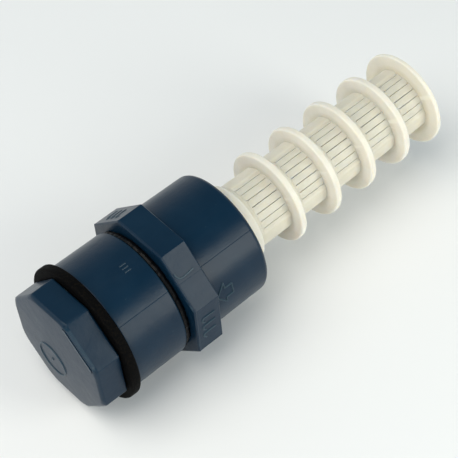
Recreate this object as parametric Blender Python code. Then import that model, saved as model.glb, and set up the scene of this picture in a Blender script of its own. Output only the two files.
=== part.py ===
"""Foot valve with a screwed-in outlet plug and a slotted strainer.

The valve lies on one flat of its octagonal band. Its axis runs along +X, from the plug to the strainer.
Stations are distances in millimetres along that axis, counted from the plug's outer face. Radii are in
millimetres too. Meshes are built in metres, with the resting flat at z = 0 and the length centred on x = 0.
Every piece is a turned or octagonal shape about the axis. Threads are plain cylinders at the pitch radius.
"""

import math

import bmesh
import bpy

MM = 0.001
GAP = 0.3  # clearance kept between two pieces that touch

# Outer shape, along the axis
PLUG_HEAD_END = 13.5
WASHER_START, WASHER_END = PLUG_HEAD_END + GAP, 18.3
BARREL_START, BARREL_END = WASHER_END + GAP, 46.5
BAND_START, BAND_END = 49.75, 63.55
HUB_END = 95.05
COLLAR_END = 103.6
FLANGE_FIRST, FLANGE_PITCH, FLANGE_COUNT = 121.9, 22.05, 4
END_FLANGE_START = 209.0
LENGTH = 211.7

# Outer radii. An octagon's size is the distance from the axis to a flat.
PLUG_FLAT = 28.9
BAND_FLAT = 34.2
WASHER_RADIUS = 34.0
BARREL_RADIUS = 31.4
HUB_RADIUS = 31.0
COLLAR_RADIUS = 19.4
TUBE_RADIUS_BASE, TUBE_RADIUS_TIP = 16.7, 16.1
FLANGE_RADIUS, END_FLANGE_RADIUS = 23.3, 24.0
AXIS_HEIGHT = BAND_FLAT

# Threads: G 1 1/2 at the outlet and G 1 3/4 between barrel and body, at their pitch radii
OUTLET_THREAD = 23.16
BODY_THREAD = 26.13
THREAD_SLACK = GAP / 2
SHANK_END = 33.0
SHANK_BORE = 18.0
PLUG_FLOOR = 9.5
SPIGOT_END = 59.0
SPIGOT_BORE = 20.7
OUTLET_SOCKET_END = 36.5

# Valve body, inside
BODY_THREAD_END = 62.3
CHAMBER_RADIUS = 22.5
WEB_START, WEB_END = 76.3, 80.3
WEB_BORE = 13.5
SOCKET_RADIUS = 20.0

# Check mechanism
CAGE_START = 47.0
ARM_END = 50.0
ARM_WIDTH = 3.0
HUB_START = 40.0
CAGE_HUB_RADIUS, CAGE_HUB_BORE = 7.5, 5.1
SLEEVE_RADIUS, SLEEVE_BORE = SPIGOT_BORE - GAP, 18.6
CAGE_FLANGE_RADIUS = 25.0
SKIRT_RADIUS, SKIRT_BORE, SKIRT_END = CHAMBER_RADIUS - GAP, 19.8, 71.7
SEAT_START, SEAT_END, SEAT_LIP_START = 72.0, WEB_START - GAP, 71.2
SEAT_RADIUS, SEAT_BORE, SEAT_LIP_RADIUS = CHAMBER_RADIUS - GAP, 12.5, 14.2
POPPET_BACK, POPPET_FRONT = 65.7, 68.9
POPPET_RADIUS = 15.8
STEM_RADIUS, STEM_TIP = 3.3, 39.0
STOP_RADIUS, STOP_START = 4.2, 59.3
BOSS_RADIUS = 3.9
SEAL_RADIUS = 15.2
RETAINER_RADIUS, RETAINER_END = 9.0, 72.2
SCREW_BORE, SCREW_BORE_END = 2.3, 55.0
SCREW_RADIUS, SCREW_TIP, SCREW_HEAD_RADIUS = 2.0, 57.0, 4.0
BUSH_RADIUS, BUSH_BORE = CAGE_HUB_BORE - GAP, STEM_RADIUS + GAP
SPRING_WIRE, SPRING_RADIUS, SPRING_TURNS = 1.1, 5.3, 5.5
SPRING_START, SPRING_END = 51.3, POPPET_BACK - GAP

# Strainer
COLLAR_START = WEB_END + 0.7
COLLAR_BORE, COLLAR_BORE_END = 15.9, 100.0
TUBE_WALL = 2.3
SLOT_PITCH_COUNT = 27
SLOTS_PER_PANEL = 7
PANEL_COUNT = 3
PANEL_CENTRE = math.radians(30.6)
SLOT_ANGLE = math.radians(1.9)
COLLAR_TO_SLOT, FLANGE_TO_SLOT, SLOT_TO_FLANGE = 2.9, 4.4, 0.5
FLANGE_ROOT, FLANGE_RIM = 3.9, 3.3

# Turning angles, measured about the axis from the top towards -Y
PLUG_TURN = math.radians(-3.2)

SEGMENTS = 40
POPPET_SEGMENTS = 32
FINE_SEGMENTS = 24

MATERIALS = {
    "pvc": ((0.026, 0.062, 0.092, 1.0), 0.38, 0.0),
    "rubber": ((0.008, 0.008, 0.009, 1.0), 0.7, 0.0),
    "natural_pp": ((0.72, 0.70, 0.58, 1.0), 0.42, 0.0),
    "white_acetal": ((0.78, 0.78, 0.76, 1.0), 0.4, 0.0),
    "steel": ((0.55, 0.55, 0.56, 1.0), 0.3, 1.0),
}


def clear_scene():
    for item in list(bpy.data.objects):
        bpy.data.objects.remove(item, do_unlink=True)


def make_material(slot):
    colour, roughness, metallic = MATERIALS[slot]
    material = bpy.data.materials.new(slot)
    material.use_nodes = True
    shader = material.node_tree.nodes["Principled BSDF"]
    shader.inputs["Base Color"].default_value = colour
    shader.inputs["Roughness"].default_value = roughness
    shader.inputs["Metallic"].default_value = metallic
    return material


def axis_empty(name, station):
    """An empty on the valve's axis, which a group of pieces moves with."""
    empty = bpy.data.objects.new(name, None)
    empty.location = ((station - LENGTH / 2) * MM, 0.0, AXIS_HEIGHT * MM)
    bpy.context.collection.objects.link(empty)
    return empty


def even_angles(count, turn=0.0):
    return [turn + 2 * math.pi * i / count for i in range(count)]


def octagon_radius(flat, angle):
    """Distance from the axis to an octagon whose first flat is at angle 0."""
    from_flat = (angle + math.pi / 8) % (math.pi / 4) - math.pi / 8
    return flat / math.cos(from_flat)


def around(station, origin, radius, angle):
    """A point at an angle about the axis, from the top towards -Y, relative to the origin station."""
    return (
        (station - origin) * MM,
        -radius * math.sin(angle) * MM,
        radius * math.cos(angle) * MM,
    )


def add_ring(mesh, section, origin, angles, turn):
    """A ring of vertices. A section is (station, radius) or (station, flat, "octagon")."""
    station, size = section[:2]
    points = []
    for angle in angles:
        radius = octagon_radius(size, angle) if len(section) == 3 else size
        points.append(mesh.verts.new(around(station, origin, radius, angle + turn)))
    return points


def bridge(mesh, first, second):
    count = len(first)
    for i in range(count):
        j = (i + 1) % count
        mesh.faces.new((first[i], first[j], second[j], second[i]))


def add_solid(mesh, profile, origin, segments=SEGMENTS, turn=0.0, bored=True):
    """A turned solid: a closed loop of sections if bored, or an open run with a cap at each end."""
    angles = even_angles(segments)
    rings = [add_ring(mesh, section, origin, angles, turn) for section in profile]
    for first, second in zip(rings, rings[1:]):
        bridge(mesh, first, second)
    if bored:
        bridge(mesh, rings[-1], rings[0])
    else:
        mesh.faces.new(rings[0])
        mesh.faces.new(rings[-1])


def finish_object(name, mesh, slot, parent):
    """Turns a bmesh built about the parent's station into a named object on that parent."""
    bmesh.ops.recalc_face_normals(mesh, faces=mesh.faces)
    data = bpy.data.meshes.new(name)
    mesh.to_mesh(data)
    mesh.free()
    data.materials.append(materials[slot])
    data.shade_smooth()
    data.set_sharp_from_angle(angle=math.radians(35))
    piece = bpy.data.objects.new(name, data)
    piece.parent = parent
    bpy.context.collection.objects.link(piece)
    return piece


def turned(name, profile, slot, group, **options):
    """A piece made of one turned solid. A group is (parent empty, its station)."""
    parent, station = group
    mesh = bmesh.new()
    add_solid(mesh, profile, station, **options)
    return finish_object(name, mesh, slot, parent)


def torus_section(station, radius, thickness, points=6):
    """The closed round section of an O-ring, as turned sections."""
    section = []
    for angle in even_angles(points):
        section.append((station - thickness * math.cos(angle), radius + thickness * math.sin(angle)))
    return section


def outlet_plug(group):
    thread = OUTLET_THREAD - THREAD_SLACK
    profile = [
        (0.0, PLUG_FLAT - 1.0, "octagon"),
        (0.35, PLUG_FLAT - 0.3, "octagon"),
        (1.0, PLUG_FLAT, "octagon"),
        (PLUG_HEAD_END - 0.6, PLUG_FLAT, "octagon"),
        (PLUG_HEAD_END, PLUG_FLAT - 0.6, "octagon"),
        (PLUG_HEAD_END, thread),
        (SHANK_END - 1.2, thread),
        (SHANK_END, thread - 1.2),
        (SHANK_END, SHANK_BORE),
        (PLUG_FLOOR, SHANK_BORE - 0.6),
    ]
    return turned("outlet_plug", profile, "pvc", group, turn=PLUG_TURN, bored=False)


def plug_washer(group):
    inner = OUTLET_THREAD + 1.4
    profile = [
        (WASHER_START, WASHER_RADIUS - 0.5),
        (WASHER_START + 0.6, WASHER_RADIUS),
        (WASHER_END - 0.6, WASHER_RADIUS),
        (WASHER_END, WASHER_RADIUS - 0.5),
        (WASHER_END, inner),
        (WASHER_START, inner),
    ]
    return turned("plug_washer", profile, "rubber", group)


def outlet_barrel(group):
    socket = OUTLET_THREAD + THREAD_SLACK
    spigot = BODY_THREAD - THREAD_SLACK
    profile = [
        (BARREL_START, BARREL_RADIUS - 0.5),
        (BARREL_START + 0.6, BARREL_RADIUS),
        (BARREL_END - 0.8, BARREL_RADIUS - 0.1),
        (BARREL_END, BARREL_RADIUS - 0.8),
        (BARREL_END, spigot),
        (SPIGOT_END - 1.0, spigot),
        (SPIGOT_END, spigot - 1.0),
        (SPIGOT_END, SPIGOT_BORE),
        (OUTLET_SOCKET_END + 1.5, SPIGOT_BORE),
        (OUTLET_SOCKET_END, socket),
        (BARREL_START + 1.0, socket),
        (BARREL_START, socket + 1.0),
    ]
    return turned("outlet_barrel", profile, "pvc", group)


def barrel_gasket(group):
    inner = BODY_THREAD + 0.4
    profile = [
        (BARREL_END + GAP, 30.1),
        (BARREL_END + GAP + 0.5, 30.7),
        (BAND_START - GAP - 0.5, 30.7),
        (BAND_START - GAP, 30.1),
        (BAND_START - GAP, inner),
        (BARREL_END + GAP, inner),
    ]
    return turned("barrel_gasket", profile, "rubber", group)


def valve_body(group):
    thread = BODY_THREAD + THREAD_SLACK
    profile = [
        (BAND_START, BAND_FLAT - 0.8, "octagon"),
        (BAND_START + 0.8, BAND_FLAT, "octagon"),
        (BAND_END - 0.8, BAND_FLAT, "octagon"),
        (BAND_END, BAND_FLAT - 0.8, "octagon"),
        (BAND_END, HUB_RADIUS),
        (HUB_END - 1.6, HUB_RADIUS - 0.1),
        (HUB_END - 0.5, HUB_RADIUS - 0.6),
        (HUB_END, HUB_RADIUS - 1.7),
        (HUB_END, SOCKET_RADIUS + 0.8),
        (HUB_END - 0.8, SOCKET_RADIUS),
        (WEB_END, SOCKET_RADIUS),
        (WEB_END, WEB_BORE),
        (WEB_START, WEB_BORE),
        (WEB_START, CHAMBER_RADIUS),
        (BODY_THREAD_END, CHAMBER_RADIUS),
        (BODY_THREAD_END, thread),
        (BAND_START + 1.0, thread),
        (BAND_START, thread + 1.0),
    ]
    return turned("valve_body", profile, "pvc", group)


def seat_ring(group):
    groove_start, groove_end = SEAT_START + 1.0, SEAT_END - 1.0
    groove_floor = SEAT_RADIUS - 2.0
    profile = [
        (SEAT_START, SEAT_RADIUS),
        (groove_start, SEAT_RADIUS),
        (groove_start, groove_floor),
        (groove_end, groove_floor),
        (groove_end, SEAT_RADIUS),
        (SEAT_END, SEAT_RADIUS),
        (SEAT_END, SEAT_BORE),
        (SEAT_LIP_START, SEAT_BORE),
        (SEAT_LIP_START, SEAT_LIP_RADIUS - 0.8),
        (SEAT_START, SEAT_LIP_RADIUS),
    ]
    return turned("seat_ring", profile, "white_acetal", group)


def seat_o_ring(group):
    middle = (SEAT_START + SEAT_END) / 2
    return turned("seat_o_ring", torus_section(middle, SEAT_RADIUS - 0.85, 0.85), "rubber", group)


def add_box(mesh, low, high):
    """A box between two corners, in metres."""
    corners = {}
    for x in (0, 1):
        for y in (0, 1):
            for z in (0, 1):
                pick = (low, high)
                corners[x, y, z] = mesh.verts.new((pick[x][0], pick[y][1], pick[z][2]))
    for axis in range(3):
        for side in (0, 1):
            face = []
            for a, b in ((0, 0), (0, 1), (1, 1), (1, 0)):
                key = [a, b]
                key.insert(axis, side)
                face.append(corners[tuple(key)])
            mesh.faces.new(face)


def guide_cage(group):
    """A sleeve with a clamping flange, and a hub held by four arms that are joined on with a Boolean."""
    parent, origin = group
    profile = [
        (CAGE_START, SLEEVE_RADIUS),
        (SPIGOT_END + GAP, SLEEVE_RADIUS),
        (SPIGOT_END + GAP, CAGE_FLANGE_RADIUS),
        (BODY_THREAD_END - GAP, CAGE_FLANGE_RADIUS),
        (BODY_THREAD_END - GAP, SKIRT_RADIUS),
        (SKIRT_END, SKIRT_RADIUS),
        (SKIRT_END, SKIRT_BORE),
        (BODY_THREAD_END, SKIRT_BORE),
        (BODY_THREAD_END - 2.0, SLEEVE_BORE),
        (CAGE_START, SLEEVE_BORE),
    ]
    cage = turned("guide_cage", profile, "white_acetal", group)
    hub_profile = [
        (HUB_START, CAGE_HUB_RADIUS - 0.8),
        (HUB_START + 0.8, CAGE_HUB_RADIUS),
        (ARM_END, CAGE_HUB_RADIUS),
        (ARM_END, CAGE_HUB_BORE),
        (HUB_START, CAGE_HUB_BORE),
    ]
    hub = turned("guide_cage_hub_tool", hub_profile, "white_acetal", group, segments=FINE_SEGMENTS)
    arms = bmesh.new()
    start = (CAGE_START + 0.5 - origin) * MM
    end = (ARM_END - 0.4 - origin) * MM
    inside = (CAGE_HUB_RADIUS - 1.2) * MM
    outside = (SLEEVE_BORE + 1.0) * MM
    half = ARM_WIDTH / 2 * MM
    add_box(arms, (start, -half, inside), (end, half, outside))
    add_box(arms, (start, -half, -outside), (end, half, -inside))
    add_box(arms, (start, inside, -half), (end, outside, half))
    add_box(arms, (start, -outside, -half), (end, -inside, half))
    arms_object = finish_object("guide_cage_arms_tool", arms, "white_acetal", parent)
    for tool in (hub, arms_object):
        tool.hide_render = True
        tool.display_type = "WIRE"
        join = cage.modifiers.new("join_" + tool.name, "BOOLEAN")
        join.operation = "UNION"
        join.solver = "EXACT"
        join.object = tool
    return cage


def guide_bush(group):
    profile = [
        (HUB_START + 0.3, BUSH_RADIUS),
        (ARM_END, BUSH_RADIUS),
        (ARM_END, BUSH_BORE),
        (HUB_START + 0.3, BUSH_BORE),
    ]
    return turned("guide_bush", profile, "white_acetal", group, segments=FINE_SEGMENTS)


def spring_washer(group):
    start, end = ARM_END + GAP, SPRING_START - GAP
    profile = [
        (start, CAGE_HUB_RADIUS - 0.4),
        (end, CAGE_HUB_RADIUS - 0.4),
        (end, BUSH_BORE + 0.1),
        (start, BUSH_BORE + 0.1),
    ]
    return turned("spring_washer", profile, "steel", group, segments=FINE_SEGMENTS)


def return_spring(group):
    """An open coil with closed end turns, as a round wire swept along its helix."""
    parent, origin = group
    mesh = bmesh.new()
    wire = SPRING_WIRE / 2
    steps_per_turn, sides = 13, 6
    low, high = SPRING_START + wire, SPRING_END - wire
    closed = 0.9  # turns laid flat at each end
    steps = round(SPRING_TURNS * steps_per_turn)
    rings = []
    for i in range(steps + 1):
        turns = i / steps_per_turn
        free = min(max((turns - closed) / (SPRING_TURNS - 2 * closed), 0.0), 1.0)
        end_lift = SPRING_WIRE * 1.05 * (min(turns, closed) + max(turns - SPRING_TURNS + closed, 0.0))
        station = low + end_lift + (high - low - 2.1 * closed * SPRING_WIRE) * free
        angle = 2 * math.pi * turns
        ring = []
        for around_wire in even_angles(sides):
            radius = SPRING_RADIUS + wire * math.cos(around_wire)
            ring.append(mesh.verts.new(around(station + wire * math.sin(around_wire), origin, radius, angle)))
        rings.append(ring)
    for first, second in zip(rings, rings[1:]):
        bridge(mesh, first, second)
    mesh.faces.new(rings[0])
    mesh.faces.new(rings[-1])
    return finish_object("return_spring", mesh, "steel", parent)


def poppet(group):
    boss_end = SEAT_LIP_START - GAP
    profile = [
        (STEM_TIP, STEM_RADIUS - 0.8),
        (STEM_TIP + 0.8, STEM_RADIUS),
        (STOP_START, STEM_RADIUS),
        (STOP_START, STOP_RADIUS),
        (POPPET_BACK, STOP_RADIUS),
        (POPPET_BACK, POPPET_RADIUS - 0.8),
        (POPPET_BACK + 0.8, POPPET_RADIUS),
        (POPPET_FRONT, POPPET_RADIUS),
        (POPPET_FRONT, BOSS_RADIUS),
        (boss_end, BOSS_RADIUS),
        (boss_end, SCREW_BORE),
        (SCREW_BORE_END, SCREW_BORE),
    ]
    return turned("poppet", profile, "pvc", group, segments=POPPET_SEGMENTS, bored=False)


def poppet_seal(group):
    start, end = POPPET_FRONT + GAP, SEAT_LIP_START - GAP
    inner = BOSS_RADIUS + GAP
    profile = [
        (start, SEAL_RADIUS),
        (end - 0.4, SEAL_RADIUS),
        (end, SEAL_RADIUS - 0.4),
        (end, inner),
        (start, inner),
    ]
    return turned("poppet_seal", profile, "rubber", group, segments=POPPET_SEGMENTS)


def seal_retainer(group):
    hole = SCREW_RADIUS + 0.4
    profile = [
        (SEAT_LIP_START, RETAINER_RADIUS),
        (RETAINER_END - 0.3, RETAINER_RADIUS),
        (RETAINER_END, RETAINER_RADIUS - 0.3),
        (RETAINER_END, hole),
        (SEAT_LIP_START, hole),
    ]
    return turned("seal_retainer", profile, "steel", group, segments=FINE_SEGMENTS)


def retainer_screw(group):
    """A pan-head screw with a round drive recess."""
    head_start = RETAINER_END + GAP
    head_end = head_start + 2.8
    recess = 1.2
    profile = [
        (SCREW_TIP, SCREW_RADIUS - 0.6),
        (SCREW_TIP + 0.6, SCREW_RADIUS),
        (head_start, SCREW_RADIUS),
        (head_start, SCREW_HEAD_RADIUS),
        (head_end - 1.2, SCREW_HEAD_RADIUS - 0.2),
        (head_end, SCREW_HEAD_RADIUS - 1.4),
        (head_end, recess),
        (head_end - 1.4, recess),
    ]
    return turned("retainer_screw", profile, "steel", group, segments=FINE_SEGMENTS, bored=False)


def slot_angles():
    """Pairs of edge angles for each of the evenly pitched slot places, and whether a slot is cut there."""
    pitch = 2 * math.pi / SLOT_PITCH_COUNT
    per_panel = SLOT_PITCH_COUNT // PANEL_COUNT
    first = PANEL_CENTRE - (SLOTS_PER_PANEL - 1) / 2 * pitch
    angles, cut = [], []
    for i in range(SLOT_PITCH_COUNT):
        centre = first + i * pitch
        angles += [centre - SLOT_ANGLE / 2, centre + SLOT_ANGLE / 2]
        cut += [i % per_panel < SLOTS_PER_PANEL, False]
    return angles, cut


def flange_starts():
    return [FLANGE_FIRST + FLANGE_PITCH * k for k in range(FLANGE_COUNT)]


def tube_radius(station):
    share = (station - COLLAR_END) / (END_FLANGE_START - COLLAR_END)
    return TUBE_RADIUS_BASE + (TUBE_RADIUS_TIP - TUBE_RADIUS_BASE) * share


def panel_spans():
    """Start and end stations of each row of slots."""
    flanges = flange_starts()
    starts = [COLLAR_END + COLLAR_TO_SLOT] + [s + FLANGE_ROOT + FLANGE_TO_SLOT for s in flanges]
    ends = [s - SLOT_TO_FLANGE for s in flanges + [END_FLANGE_START]]
    return list(zip(starts, ends))


def strainer(group):
    """A tube with flanges, built as an outer and an inner skin on one grid. Slots are cells left open."""
    parent, origin = group
    mesh = bmesh.new()
    angles, cut = slot_angles()
    spans = panel_spans()
    groove_start, groove_end = COLLAR_START + 5.0, COLLAR_START + 7.4
    outer = [
        (COLLAR_START, COLLAR_RADIUS - 0.7),
        (COLLAR_START + 0.8, COLLAR_RADIUS),
        (groove_start, COLLAR_RADIUS),
        (groove_start, COLLAR_RADIUS - 1.8),
        (groove_end, COLLAR_RADIUS - 1.8),
        (groove_end, COLLAR_RADIUS),
        (COLLAR_END - 0.5, COLLAR_RADIUS),
        (COLLAR_END, COLLAR_RADIUS - 0.6),
        (COLLAR_END, TUBE_RADIUS_BASE),
    ]
    inner = [(COLLAR_START, COLLAR_BORE), (COLLAR_BORE_END, COLLAR_BORE)]
    inner.append((COLLAR_BORE_END + 2.0, TUBE_RADIUS_BASE - TUBE_WALL))
    outer_row, inner_row = {}, {}
    rim_slope = (FLANGE_ROOT - FLANGE_RIM) / 2
    for k, (start, end) in enumerate(spans):
        outer_row[len(outer)] = k
        inner_row[len(inner)] = k
        outer += [(start, tube_radius(start)), (end, tube_radius(end))]
        inner += [(start, tube_radius(start) - TUBE_WALL), (end, tube_radius(end) - TUBE_WALL)]
        if k < FLANGE_COUNT:
            root = flange_starts()[k]
            outer += [
                (root, tube_radius(root)),
                (root + rim_slope, FLANGE_RADIUS),
                (root + FLANGE_ROOT - rim_slope, FLANGE_RADIUS),
                (root + FLANGE_ROOT, tube_radius(root + FLANGE_ROOT)),
            ]
    outer += [
        (END_FLANGE_START, TUBE_RADIUS_TIP),
        (END_FLANGE_START + 0.5, END_FLANGE_RADIUS - 0.5),
        (END_FLANGE_START + 1.3, END_FLANGE_RADIUS),
        (LENGTH - 0.7, END_FLANGE_RADIUS - 0.1),
        (LENGTH, END_FLANGE_RADIUS - 0.9),
    ]
    inner.append((END_FLANGE_START + 0.3, TUBE_RADIUS_TIP - TUBE_WALL))
    outer_rings = [add_ring(mesh, section, origin, angles, 0.0) for section in outer]
    inner_rings = [add_ring(mesh, section, origin, angles, 0.0) for section in inner]
    count = len(angles)
    for rings, rows in ((outer_rings, outer_row), (inner_rings, inner_row)):
        for r, (first, second) in enumerate(zip(rings, rings[1:])):
            for i in range(count):
                if r in rows and cut[i]:
                    continue
                j = (i + 1) % count
                mesh.faces.new((first[i], first[j], second[j], second[i]))
    row_pairs = zip(sorted(outer_row), sorted(inner_row))
    for outer_index, inner_index in row_pairs:
        near, far = outer_rings[outer_index], outer_rings[outer_index + 1]
        near_in, far_in = inner_rings[inner_index], inner_rings[inner_index + 1]
        for i in range(count):
            if not cut[i]:
                continue
            j = (i + 1) % count
            mesh.faces.new((near[i], far[i], far_in[i], near_in[i]))
            mesh.faces.new((near[j], far[j], far_in[j], near_in[j]))
            mesh.faces.new((near[i], near[j], near_in[j], near_in[i]))
            mesh.faces.new((far[i], far[j], far_in[j], far_in[i]))
    bridge(mesh, outer_rings[0], inner_rings[0])
    mesh.faces.new(outer_rings[-1])
    mesh.faces.new(inner_rings[-1])
    return finish_object("strainer", mesh, "natural_pp", parent)


def strainer_o_ring(group):
    middle = COLLAR_START + 6.2
    return turned("strainer_o_ring", torus_section(middle, COLLAR_RADIUS - 0.65, 0.95), "rubber", group)


clear_scene()
materials = {slot: make_material(slot) for slot in MATERIALS}

groups = {}
for group_name, group_station in (
    ("valve_axis", BAND_START),
    ("plug_axis", WASHER_START),
    ("poppet_axis", POPPET_BACK),
    ("strainer_axis", HUB_END),
):
    groups[group_name] = (axis_empty(group_name, group_station), group_station)

for build_piece in (
    outlet_barrel,
    barrel_gasket,
    valve_body,
    seat_ring,
    seat_o_ring,
    guide_cage,
    guide_bush,
    spring_washer,
    return_spring,
):
    build_piece(groups["valve_axis"])

for build_piece in (outlet_plug, plug_washer):
    build_piece(groups["plug_axis"])

for build_piece in (poppet, poppet_seal, seal_retainer, retainer_screw):
    build_piece(groups["poppet_axis"])

for build_piece in (strainer, strainer_o_ring):
    build_piece(groups["strainer_axis"])

bpy.context.view_layer.update()
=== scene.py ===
"""Looks of the foot valve: fine meshes, materials, camera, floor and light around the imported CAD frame.

Stations are millimetres along the valve's axis from the plug's outer face, as in the CAD part. Angles are
measured about the axis from the top (+Z) towards the camera's side (-Y). Meshes are built in metres.
"""

import math

import bmesh
import bpy
from mathutils import Matrix, Vector


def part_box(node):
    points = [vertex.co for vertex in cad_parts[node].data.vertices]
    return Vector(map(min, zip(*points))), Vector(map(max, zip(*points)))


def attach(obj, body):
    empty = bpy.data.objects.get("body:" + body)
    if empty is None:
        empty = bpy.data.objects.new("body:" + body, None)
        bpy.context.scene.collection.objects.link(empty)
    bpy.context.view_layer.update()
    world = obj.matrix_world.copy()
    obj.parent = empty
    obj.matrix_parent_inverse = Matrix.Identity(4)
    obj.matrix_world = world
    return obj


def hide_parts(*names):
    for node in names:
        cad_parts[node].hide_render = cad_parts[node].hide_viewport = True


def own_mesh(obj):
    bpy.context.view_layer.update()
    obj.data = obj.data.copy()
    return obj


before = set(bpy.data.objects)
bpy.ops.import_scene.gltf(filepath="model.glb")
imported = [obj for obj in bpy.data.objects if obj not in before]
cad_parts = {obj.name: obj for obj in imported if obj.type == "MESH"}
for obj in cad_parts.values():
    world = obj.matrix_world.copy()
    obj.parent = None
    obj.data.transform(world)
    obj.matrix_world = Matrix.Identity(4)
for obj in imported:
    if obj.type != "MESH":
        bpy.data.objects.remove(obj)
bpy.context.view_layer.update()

MM = 0.001
AXIS_Z = (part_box("plug_washer")[0].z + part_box("plug_washer")[1].z) / 2
PLUG_FACE_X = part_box("outlet_plug")[0].x


def span(node):
    """First and last station of a CAD node, in millimetres."""
    low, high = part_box(node)
    return (low.x - PLUG_FACE_X) / MM, (high.x - PLUG_FACE_X) / MM


def outer_radius(node):
    """Largest radius of a round CAD node, in millimetres."""
    low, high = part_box(node)
    return (high.y - low.y) / 2 / MM


# Stations taken from the frame
WASHER_START, WASHER_END = span("plug_washer")
BARREL_START, SPIGOT_END = span("outlet_barrel")
GASKET_START, GASKET_END = span("barrel_gasket")
BAND_START, HUB_END = span("valve_body")
COLLAR_START, STRAINER_END = span("strainer")
SHANK_END = span("outlet_plug")[1]
GAP = BARREL_START - WASHER_END
HEAD_END = WASHER_START - GAP
BARREL_END = GASKET_START - GAP
BAND_END = BAND_START + 13.8

# Outer radii and octagon sizes. An octagon's size is the distance from the axis to a flat.
PLUG_FLAT = 28.9
PLUG_TURN = math.radians(-3.2)
BAND_FLAT = AXIS_Z / MM
BAND_CORNER = 0.7
WASHER_RADIUS = outer_radius("plug_washer")
BARREL_RADIUS = 31.4
GASKET_RADIUS = outer_radius("barrel_gasket")
HUB_RADIUS = 31.0

# The plug's domed face: the station of its edge, and the height of the dome
FACE_EDGE, FACE_CROWN = 0.35, 0.8

# A low lip runs round the band's barrel end, and the rest of the flats lies below it
LIP_HEIGHT = 0.13
LABEL_FLAT = BAND_FLAT - LIP_HEIGHT

# Bores, each as a radius and the station of the shoulder at its end. The washer's goes right through.
WASHER_BORE = 24.56
SHANK_BORE, SHANK_FLOOR = 18.0, 9.5
BARREL_BORE, SOCKET_FLOOR = 20.7, 36.9
STRAINER_BORE, STRAINER_STOP = 20.0, 80.3
PORT_BORE, SEAT_STOP = 13.5, 76.3
CAGE_BORE, CAGE_STOP = 22.5, 62.3

# Threads, as radii of the middle of the thread's flank
PITCH = 2.309
THREAD_HALF_DEPTH = 0.62
THREAD_RUNOUT = 1.2
THREAD_STEP = PITCH / 10
OUTLET_THREAD = 23.16
BODY_THREAD = 26.13
THREAD_SLACK = 0.3

# Moulded marks
MARK_HEIGHT, MARK_WIDTH = 0.42, 1.0
MARK_STEP = 0.4

# Seams left by the two halves of the mould
SEAM_ANGLES = (math.radians(45), math.radians(225))

# Strainer
COLLAR_RADIUS, COLLAR_END = 19.4, 103.6
COLLAR_BORE, COLLAR_BORE_END = 15.9, 100.0
GROOVE_START, GROOVE_END, GROOVE_DEPTH = COLLAR_START + 5.0, COLLAR_START + 7.4, 1.8
TUBE_BASE, TUBE_TIP, TUBE_WALL = 16.7, 16.1, 2.3
FLANGE_FIRST, FLANGE_PITCH, FLANGE_COUNT = 121.9, 22.05, 4
FLANGE_ROOT, FLANGE_RIM, FLANGE_RADIUS = 3.9, 3.3, 23.3
END_FLANGE_START, END_FLANGE_RADIUS = 209.0, 24.0
SLOT_PLACES, SLOTS_PER_PANEL, PANEL_COUNT = 27, 7, 3
PANEL_CENTRE = math.radians(30.6)
SLOT_HALF_ANGLE = math.radians(0.58)
SLOT_DRAFT = 0.15
COLLAR_TO_SLOT, FLANGE_TO_SLOT, SLOT_TO_FLANGE = 2.9, 4.4, 0.5

# The slotted windows are sunk and the ribs between them stand proud. A window's edge is a list of
# (distance before the window, share of the step from its floor to a rib).
RIB_HEIGHT = 0.35
WINDOW_DEPTH = 0.35
WINDOW_EDGE = ((1.6, 1.0), (1.4, 0.96), (1.1, 0.72), (0.8, 0.28), (0.5, 0.04), (0.3, 0.0))


# ---------------------------------------------------------------- mesh building

# Edges sharper than this keep a crease
CREASE = math.radians(40)


def place(station, radius, angle):
    """World position of a point given by its station, radius and angle."""
    return (
        PLUG_FACE_X + station * MM,
        -radius * math.sin(angle) * MM,
        AXIS_Z + radius * math.cos(angle) * MM,
    )


def round_shape(radius):
    """Outline of a round section. An outline gives the radius at an angle."""
    return lambda angle: radius


def octagon_shape(flat, corner, turn=0.0):
    """Radius of an octagon with rounded corners and a flat at the angle turn."""
    half = math.pi / 8
    reach = (flat - corner) / math.cos(half)
    limit = half - math.atan2((flat - corner) * math.tan(half), flat)

    def radius(angle):
        from_flat = (angle - turn + half) % (2 * half) - half
        from_corner = half - abs(from_flat)
        if from_corner >= limit:
            return flat / math.cos(from_flat)
        side = reach * math.sin(from_corner)
        return reach * math.cos(from_corner) + math.sqrt(max(corner * corner - side * side, 0.0))

    return radius


def seamed(shape, depth, width=0.16):
    """The same outline with a fine groove along each mould seam."""

    def radius(angle):
        size = shape(angle)
        for seam in SEAM_ANGLES:
            away = abs((angle - seam + math.pi) % (2 * math.pi) - math.pi) * size
            size -= depth * math.exp(-((away / width) ** 2))
        return size

    return radius


def threaded(middle, station, fade=1.0):
    """Outline of a right-hand thread at one station. The same formula serves a screw and its nut."""
    crest_width = 1.35

    def radius(angle):
        turn = (station / PITCH - angle / (2 * math.pi)) % 1.0
        flank = math.cos(2 * math.pi * turn)
        return middle + THREAD_HALF_DEPTH * fade * max(min(crest_width * flank, 1.0), -1.0)

    return radius


def thread_rows(middle, start, end):
    """Rows of a threaded stretch from start to end, with the thread fading in at both ends."""
    count = max(2, round(abs(end - start) / THREAD_STEP))
    rows = []
    for i in range(count + 1):
        station = start + (end - start) * i / count
        fade = min(1.0, abs(station - start) / THREAD_RUNOUT, abs(end - station) / THREAD_RUNOUT)
        rows.append((station, threaded(middle, station, fade)))
    return rows


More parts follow.
